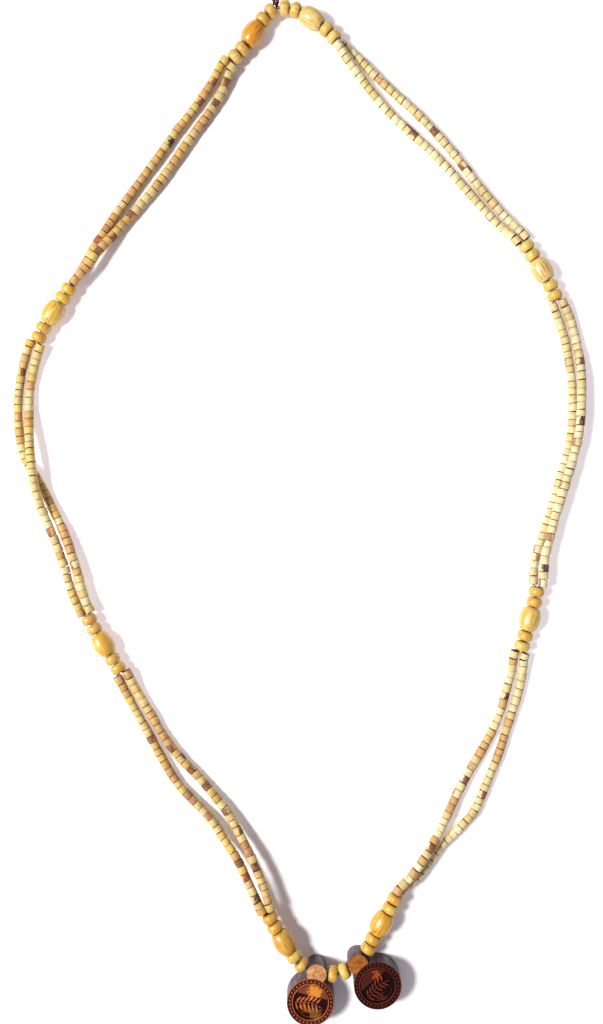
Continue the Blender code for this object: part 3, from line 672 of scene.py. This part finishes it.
def carved_disc(side, motif, face, side_bark):
    """A slice of branch with a carved face: a rim, a studded channel, an inner rim and a sunk field."""
    node = f"{side}_pendant_disc"
    low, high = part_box(node)
    centre = (low + high) / 2 / MM
    centre.z = 0
    channel = DISC_R - RIM_WIDTH
    inner_rim = channel - CHANNEL_WIDTH
    field = inner_rim - INNER_RIM_WIDTH
    top = DISC_TOP
    profile = [(0, 0), (DISC_R - 0.3, 0), (DISC_R, 0.3), (DISC_R, top - 0.3), (DISC_R - 0.3, top),
               (channel + EDGE, top), (channel, top - EDGE), (channel - EDGE, top - CHANNEL_DEPTH),
               (inner_rim + EDGE, top - CHANNEL_DEPTH), (inner_rim, top - EDGE), (inner_rim - EDGE, top),
               (field + EDGE, top), (field, top - EDGE), (field - EDGE, top - FIELD_DEPTH),
               (0, top - FIELD_DEPTH)]
    bm = turned(profile, 108)
    for f in bm.faces:
        from_axis = f.calc_center_median().to_2d().length
        f.material_index = 1 if abs(f.normal.z) < 0.2 and from_axis > DISC_R - 0.1 else 0
    for k in range(STUDS):
        at = Vector(((channel + inner_rim) / 2, 0, top - CHANNEL_DEPTH))
        at.rotate(Matrix.Rotation(2 * math.pi * k / STUDS, 3, "Z"))
        add_dome(bm, at, STUD_WIDTH, STUD_WIDTH, CHANNEL_DEPTH - 0.04, 0, 10)
    motif(bm, field - 0.2, top - FIELD_DEPTH)
    bmesh.ops.translate(bm, vec=centre, verts=bm.verts)
    ob = finish_mesh(bm, node + "_carved", sharp=38)
    stand_for(ob, node, "carved_wood", f"{side}_pendant", face, side_bark)


def add_dome(bm, at, length, width, height, angle, sides=14):
    """A stretched dome, half sunk in the ground: a stud or a leaf."""
    made = bmesh.ops.create_uvsphere(bm, u_segments=sides, v_segments=sides // 2 + 1, radius=1)["verts"]
    place = Matrix.Translation(at) @ Matrix.Rotation(math.radians(angle), 4, "Z")
    bmesh.ops.transform(bm, matrix=place @ Matrix.Diagonal((length / 2, width / 2, height, 1)), verts=made)


def add_ridge(bm, points, width, height):
    """A thin raised line through the points: a chain of small stretched domes."""
    for a, b in zip(points, points[1:]):
        way = b - a
        angle = math.degrees(math.atan2(way.y, way.x))
        add_dome(bm, (a + b) / 2, way.length * 1.7, width, height, angle, 10)


def sprig(turn, leaf_length):
    """A carved sprig of leaves across the field, between a raised step of plain wood and a border line."""
    def carve(bm, radius, ground):
        floor = Vector((0, 0, ground))
        step = bmesh.ops.create_cone(bm, cap_ends=True, segments=64, radius1=radius, radius2=radius - EDGE,
                                     depth=STEP_HEIGHT,
                                     matrix=Matrix.Translation(floor + UP * STEP_HEIGHT / 2))["verts"]
        spin = Matrix.Rotation(math.radians(turn), 3, "Z")
        along, across = spin @ Vector((1, 0, 0)), spin @ Vector((0, 1, 0))
        edges = {e for v in step for e in v.link_edges}
        faces = {f for v in step for f in v.link_faces}
        cut = bmesh.ops.bisect_plane(bm, geom=step + list(edges) + list(faces), plane_co=across * STEP_AT,
                                     plane_no=-across, clear_outer=True)
        bmesh.ops.holes_fill(bm, edges=[e for e in cut["geom_cut"] if isinstance(e, bmesh.types.BMEdge)])
        reach = radius - 0.6
        stem = [floor + along * reach * u + across * (0.7 * math.cos(u * 2.6) - 0.9)
                for u in (-0.95, -0.7, -0.45, -0.2, 0.05, 0.3, 0.55, 0.8)]
        add_ridge(bm, stem, STEM_WIDTH, STEM_HEIGHT)
        for joint in stem[:LEAVES]:
            for tilt in (LEAF_TILT, -LEAF_TILT):
                lift = across * math.copysign(leaf_length * 0.44, tilt)
                add_dome(bm, joint + along * leaf_length * 0.32 + lift, leaf_length, LEAF_WIDTH, LEAF_HEIGHT,
                         turn + tilt)
        border = [floor + (along * math.sin(t) - across * math.cos(t)) * (reach - 0.5)
                  for t in (-0.75, -0.45, -0.15, 0.15, 0.45, 0.75)]
        add_ridge(bm, border, BORDER_WIDTH, BORDER_HEIGHT)
    return carve


BAIL_EDGE = 0.3                 # softening of the twig's ends


def carved_bail(side, end_wood, side_bark):
    """The twig slice that carries a disc: hollowed to fit it, and drilled for the thread."""
    body = f"{side}_pendant"
    node = body + "_bail"
    disc_low, disc_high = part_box(body + "_disc")
    disc = (disc_low + disc_high) / 2 / MM
    centre, way = ends_of(body)
    bm = bmesh.new()
    bmesh.ops.create_cone(bm, cap_ends=True, segments=56, radius1=BAIL_R, radius2=BAIL_R, depth=DISC_TOP,
                          matrix=Matrix.Translation((centre.x, centre.y, DISC_TOP / 2)))
    rims = [e for e in bm.edges if abs(e.verts[0].co.z - e.verts[1].co.z) < 0.01]
    bmesh.ops.bevel(bm, geom=rims, offset=BAIL_EDGE, segments=2, profile=0.5, affect="EDGES", material=-1)
    twig = finish_mesh(bm, node + "_sawn")
    saddle = bmesh.new()
    bmesh.ops.create_cone(saddle, cap_ends=True, segments=96, radius1=DISC_R + GLUE_GAP / 2,
                          radius2=DISC_R + GLUE_GAP / 2, depth=DISC_TOP * 2, matrix=Matrix.Translation(disc))
    drill = bmesh.new()
    bmesh.ops.create_cone(drill, cap_ends=True, segments=20, radius1=BORE_R, radius2=BORE_R,
                          depth=BAIL_R * 4, matrix=aligned(centre, way))
    for cutter_mesh in (saddle, drill):
        cutter = finish_mesh(cutter_mesh, "cutter")
        cut = twig.modifiers.new("cut", "BOOLEAN")
        cut.operation = "DIFFERENCE"
        cut.object = cutter
        shaped = bpy.data.meshes.new_from_object(twig.evaluated_get(bpy.context.evaluated_depsgraph_get()))
        twig.modifiers.clear()
        twig.data = shaped
        bpy.data.objects.remove(cutter)
    for polygon in twig.data.polygons:
        polygon.material_index = 0 if abs(polygon.normal.z) > 0.6 else 1
    twig.data.shade_smooth()
    twig.data.set_sharp_from_angle(angle=math.radians(35))
    stand_for(twig, node, "twig_wood", body, end_wood, side_bark)


# ---------------------------------------------------------------- thread and knot

def cord_piece(name, points, radius, node, mat, cyclic=False):
    """A round cord through the points, in the place of its CAD node."""
    curve = bpy.data.curves.new(name, "CURVE")
    curve.dimensions = "3D"
    curve.bevel_depth = radius * MM
    curve.bevel_resolution = 3
    curve.use_fill_caps = not cyclic
    spline = curve.splines.new("POLY")
    spline.points.add(len(points) - 1)
    spline.use_cyclic_u = cyclic
    for knot, point in zip(spline.points, points):
        knot.co = (*(point * MM), 1)
    ob = bpy.data.objects.new(name, curve)
    bpy.context.scene.collection.objects.link(ob)
    stand_for(ob, node, node, "string", mat)


KNOT_RISE = 1.2                 # from the thread's ends up to the knot's middle
KNOT_SINK = 0.7                 # how far the pulled knot sits in between the beads
KNOT_STEPS = 72
STRAND_R, STRAND_LANE = 0.38, 0.28


def lane_points(chain, side, first=0, last=None):
    """Where one run of the thread enters and leaves each bore of a chain."""
    points = []
    for kind, node, centre, way, half in CHAIN_PIECES[chain][first:last]:
        lane = outward(way) * LANE * side
        points += [centre - way * half + lane, centre + way * half + lane]
    return points


def thread_points():
    """Both rounds of the one thread, from the knot to the knot."""
    gap, way, knot = knot_place()
    stem = outward(way) * ((knot - gap).length - KNOT_RISE)
    tips = [gap + way * turn * LANE + stem for turn in (-1, 1)]
    feet = [gap + way * turn * LANE + outward(way) * LANE for turn in (-1, 1)]
    half = len(GROUP)
    side = OUTER
    points = [tips[1], feet[1]]
    for _ in range(2):
        points += lane_points("top", side, first=half)
        for row in ROWS.values():
            route = row_route(row, side)
            steps = round(route.length / TUBE_STEP)
            points += [route.at(route.length * k / steps) for k in range(steps + 1)]
            side = -side if row["crossing"] else side
            chain = row["ends"][1]
            points += lane_points(chain, side, last=half if chain == "top" else None)
    return points + [feet[0], tips[0]]


def knot_place():
    """Middle of the gap at the knot, the thread's direction there, and the knot's own middle."""
    pieces = CHAIN_PIECES["top"]
    before, after = pieces[len(GROUP) - 1], pieces[len(GROUP)]
    a = before[2] + before[3] * before[4]
    b = after[2] - after[3] * after[4]
    low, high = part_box("knot")
    return (a + b) / 2, (before[3] + after[3]).normalized(), (low + high) / 2 / MM


def tied_knot(mat):
    """The thread's ends, tied: an interlaced lump on the strands that come up between the beads."""
    gap, way, knot = knot_place()
    centre = knot - outward(way) * KNOT_SINK
    frame_at = Matrix((way, UP.cross(way), UP)).transposed()
    loops = []
    for k in range(KNOT_STEPS):
        t = 2 * math.pi * k / KNOT_STEPS
        ring = 0.95 + 0.42 * math.cos(3 * t)
        loops.append(centre + frame_at @ Vector((ring * math.cos(2 * t), ring * math.sin(2 * t),
                                                 0.6 * math.sin(3 * t))))
    for turn in (-1, 1):
        strand = [gap + way * turn * STRAND_LANE + outward(way) * reach for reach in (0.1, 1.0, 2.0)]
        loops += strand[::-turn]
    cord_piece("knot_tied", loops, STRAND_R, "knot", mat, cyclic=True)


# ---------------------------------------------------------------- camera, light and table

CAMERA_HEIGHT = 435
VIEW_HEIGHT = 460.8             # of the table seen from there
LAMP_PLACE = Vector((-790, -40, 1000))
LAMP_WIDTH = 340
LAMP_POWER = 27                 # watts
LAMP_COLOUR = 1.0, 0.975, 0.94
ROOM_COLOUR = 0.96, 0.9, 1.0, 1
ROOM_LIGHT = 0.3
TABLE_HALF = 9000
TABLE_DROP = 0.03               # keeps the table off the pieces that lie on it
TABLE_COLOUR = srgb(242, 239, 242)
TABLE_GLOW = 0.45               # painted glow in the table, which pales the shadows cast on it, away from its dimmer places
DIM_GLOW = 0.08                 # share of the painted glow that is left there
DIM_PLACES = [(-10, -200, 30, 150), (-55, 165, 30, 130)]    # x, y, radius all dim, radius all bright; the painted glow is dimmed there so the shadows stay dark


def set_stage():
    """Camera over the table, one lamp at the left, an even room light and the white table, with a painted
    glow that pales its shadows.
    """
    camera = bpy.data.objects.new("camera", bpy.data.cameras.new("camera"))
    bpy.context.scene.collection.objects.link(camera)
    camera.location = Vector((-MIDDLE.x, -MIDDLE.y, CAMERA_HEIGHT)) * MM
    camera.data.sensor_width = 36
    camera.data.lens = 36 * CAMERA_HEIGHT / VIEW_HEIGHT
    camera.data.clip_start = 0.01
    bpy.context.scene.camera = camera

    bm = bmesh.new()
    bmesh.ops.create_grid(bm, x_segments=1, y_segments=1, size=TABLE_HALF)
    bmesh.ops.translate(bm, vec=(0, 0, -TABLE_DROP), verts=bm.verts)
    table = finish_mesh(bm, "table")
    f = Finish("white_table", Roughness=0.9, Specular_IOR_Level=0.2, Emission_Color=(1, 0.94, 0.98, 1))
    f.colour(TABLE_COLOUR)
    # Painted glow: the table glows to pale the shadows cast on it, less near the pendants and the top left.
    glow = TABLE_GLOW
    for x, y, near, far in DIM_PLACES:
        glow = f.times(f.ranged(f.away_from(x, y), near, far, DIM_GLOW, 1.0), glow)
    f.put(f.shader.inputs["Emission Strength"], glow)
    table.data.materials.append(f.material)

    lamp = bpy.data.objects.new("key_light", bpy.data.lights.new("key_light", "AREA"))
    bpy.context.scene.collection.objects.link(lamp)
    lamp.data.shape = "DISK"
    lamp.data.size = LAMP_WIDTH * MM
    lamp.data.energy = LAMP_POWER
    lamp.data.color = LAMP_COLOUR
    lamp.location = LAMP_PLACE * MM
    lamp.rotation_mode = "QUATERNION"
    lamp.rotation_quaternion = (-LAMP_PLACE).to_track_quat("-Z", "Y")

    world = bpy.data.worlds.new("soft_room_light")
    world.use_nodes = True
    room = world.node_tree.nodes["Background"]
    room.inputs["Color"].default_value = ROOM_COLOUR
    room.inputs["Strength"].default_value = ROOM_LIGHT
    bpy.context.scene.world = world
    bpy.context.scene.view_settings.view_transform = "Standard"


# ---------------------------------------------------------------- assembly

set_stage()
CHAIN_PIECES = {name: chain_pieces(name) for name in CHAINS}

bead_wood = sawn_bead_wood()
for row_name, row in ROWS.items():
    for row_side in (OUTER, INNER):
        tube_bead_row(row_name, row, row_side, bead_wood)

rondelle_wood = turned_bead_wood("rondelle_wood", srgb(228, 190, 108), 0.2)
oval_wood = turned_bead_wood("varnished_oval_wood", srgb(206, 156, 70), 0.6)
for chain_name, pieces in CHAIN_PIECES.items():
    for kind, node, centre, way, half in pieces:
        if kind == "rondelle":
            tint = random.Random(node + " tint").choice(RONDELLE_TINTS[chain_name])
            worn = WORN.get(node, 1)
            shape = bored_profile([(r, z * worn) for r, z in RONDELLE_SIDE])
            large_bead(node, centre, way, shape, 28, rondelle_wood, "rondelle_wood", tint)
        elif kind == "oval":
            shape = bored_profile(OVAL_SIDE)
            large_bead(node, centre, way, shape, 36, oval_wood, "varnished_wood", OVAL_TINTS[node])

thread = twisted_thread()
cord_piece("thread_strung", thread_points(), THREAD_R, "thread", thread)
tied_knot(thread)

side_bark = bark("dark_bark", srgb(44, 28, 40), srgb(104, 84, 102))
PENDANTS = {
    "left": dict(motif=sprig(-14, 3.9), rubbed=srgb(164, 88, 58), burnt=srgb(34, 8, 6),
                 patches=[(1.8, 4.6, 3.0, srgb(206, 132, 50)), (-2.4, -3.0, 2.0, srgb(200, 110, 40)),
                          (2.0, -5.2, 2.4, srgb(176, 116, 66))],
                 end=(srgb(214, 168, 110), srgb(182, 124, 76))),
    "right": dict(motif=sprig(40, 3.6), rubbed=srgb(98, 42, 32), burnt=srgb(24, 6, 5),
                  patches=[(-0.4, 4.4, 1.7, srgb(158, 66, 22)), (1.4, -5.0, 1.6, srgb(110, 48, 30))],
                  end=(srgb(178, 108, 32), srgb(136, 74, 20))),
}
for side, looks in PENDANTS.items():
    low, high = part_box(side + "_pendant_disc")
    middle = (low + high) / 2 / MM
    face = carved_face(side + "_carving", looks["rubbed"], looks["burnt"], middle, looks["patches"])
    carved_disc(side, looks["motif"], face, side_bark)
    pith = ends_of(side + "_pendant")[0]
    carved_bail(side, sawn_end(side + "_sawn_end", tuple(pith * MM), *looks["end"]), side_bark)
